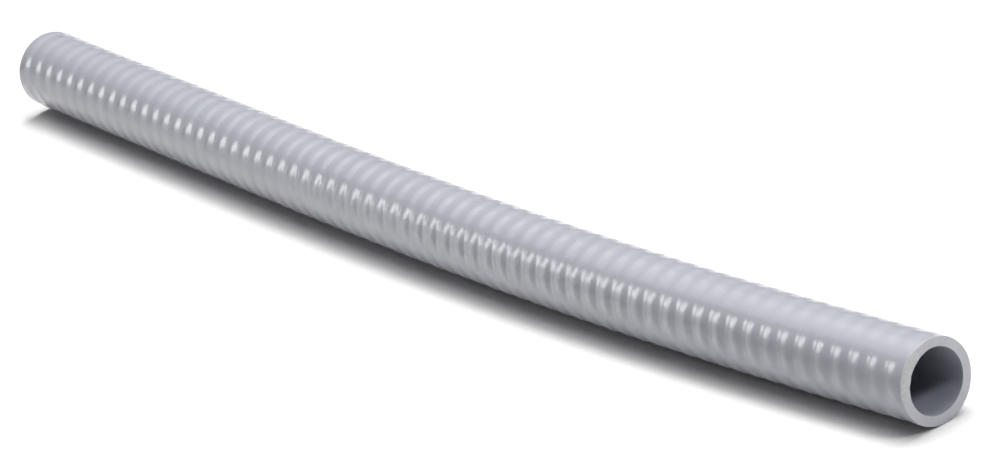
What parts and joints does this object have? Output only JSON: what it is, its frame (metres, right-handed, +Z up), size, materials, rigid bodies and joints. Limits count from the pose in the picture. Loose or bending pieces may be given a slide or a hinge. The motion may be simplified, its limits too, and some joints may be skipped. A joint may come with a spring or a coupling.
{
  "type": "corrugated conduit",
  "caption": "Cut length of flexible grey plastic conduit with a smooth bore and a shallow spiral rib outside, lying slightly bowed.",
  "frame": {"origin": "on the floor under the middle of the bounding box", "axes": "+X along the piece towards the near end, the cut end that faces the camera; +Z up; the belly of the bow points to -Y"},
  "size_m": [0.4038, 0.028, 0.0211],
  "materials": {
    "pvc_wall": "smooth extruded PVC, semi-gloss grey with a faint violet cast"
  },
  "bodies": {
    "root": {"conduit": "pvc_wall"}
  },
  "joints": []
}
